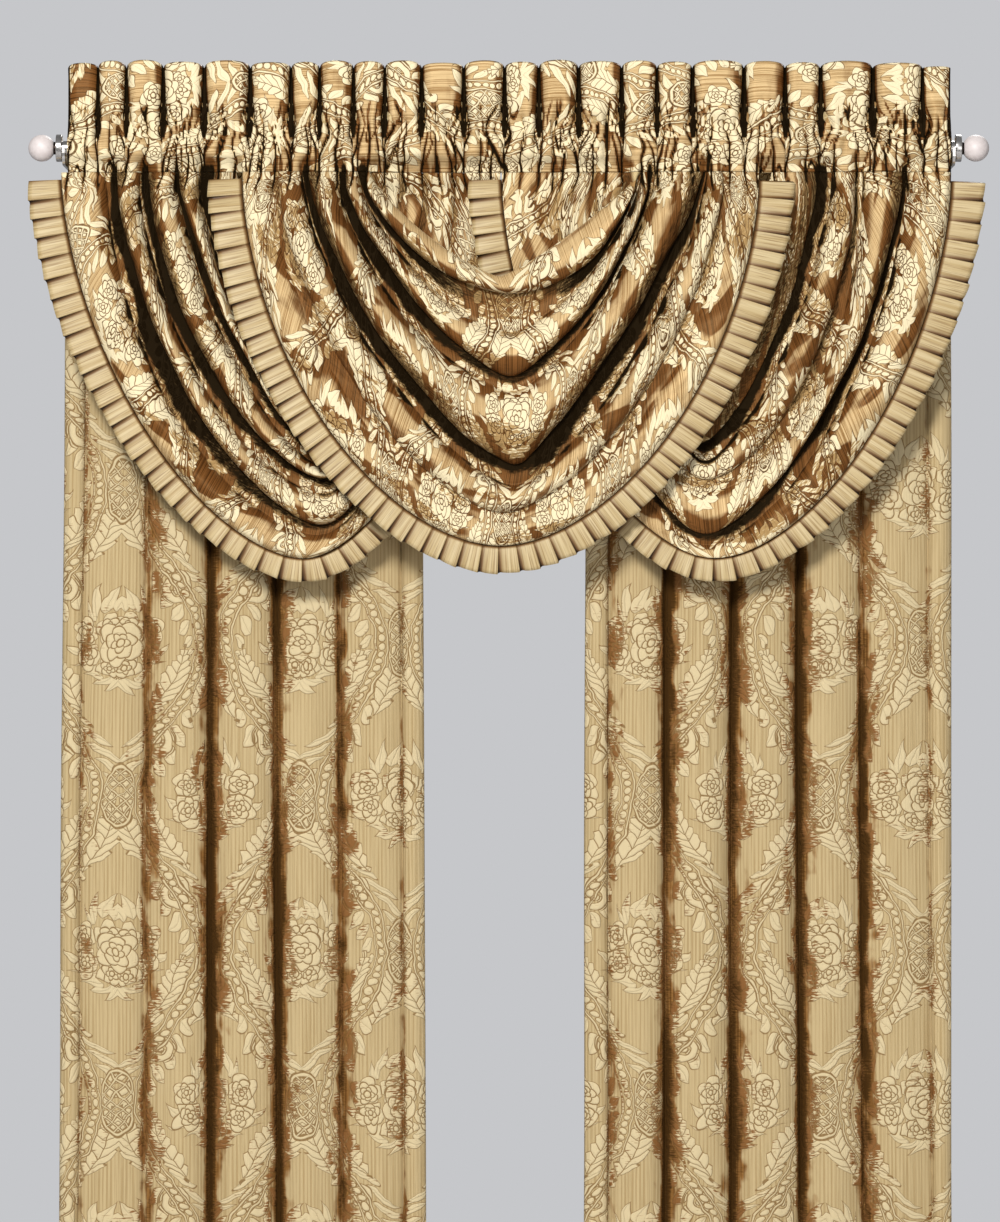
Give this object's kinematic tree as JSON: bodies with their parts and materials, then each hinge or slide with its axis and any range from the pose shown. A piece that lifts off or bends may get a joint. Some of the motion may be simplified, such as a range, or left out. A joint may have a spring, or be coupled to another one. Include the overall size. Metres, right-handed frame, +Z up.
{
  "type": "swag and panel drape set on a double curtain rod",
  "caption": "Overlapping jacquard swags with knife-pleated trim on one gathered heading, in front of long side panels, hung on a double curtain rod with glass ball finials.",
  "frame": {"origin": "on the wall plane, midway between the two wall plates and level with the front rod's axis", "axes": "+X to the right as the room sees it, +Y towards the wall, +Z up"},
  "size_m": [1.6638, 0.199, 2.136],
  "materials": {
    "swag_jacquard": "satin-ground jacquard with a raised pale motif",
    "panel_jacquard": "matt ribbed jacquard with a raised pale motif",
    "ribbed_satin": "slubbed satin, knife pleated",
    "nickel": "polished nickel plate",
    "crystal": "polished, faintly rose"
  },
  "bodies": {
    "root": {"heading": "swag_jacquard", "swag_left": "swag_jacquard", "swag_right": "swag_jacquard", "swag_centre": "swag_jacquard", "trim_left": "ribbed_satin", "trim_right": "ribbed_satin", "trim_centre": "ribbed_satin", "panel_left": "panel_jacquard", "panel_right": "panel_jacquard", "rod_front": "nickel", "rod_back": "nickel", "finial_collar_left": "nickel", "finial_collar_right": "nickel", "finial_ball_left": "crystal", "finial_ball_right": "crystal", "bracket_left": "nickel", "bracket_right": "nickel"}
  },
  "joints": []
}
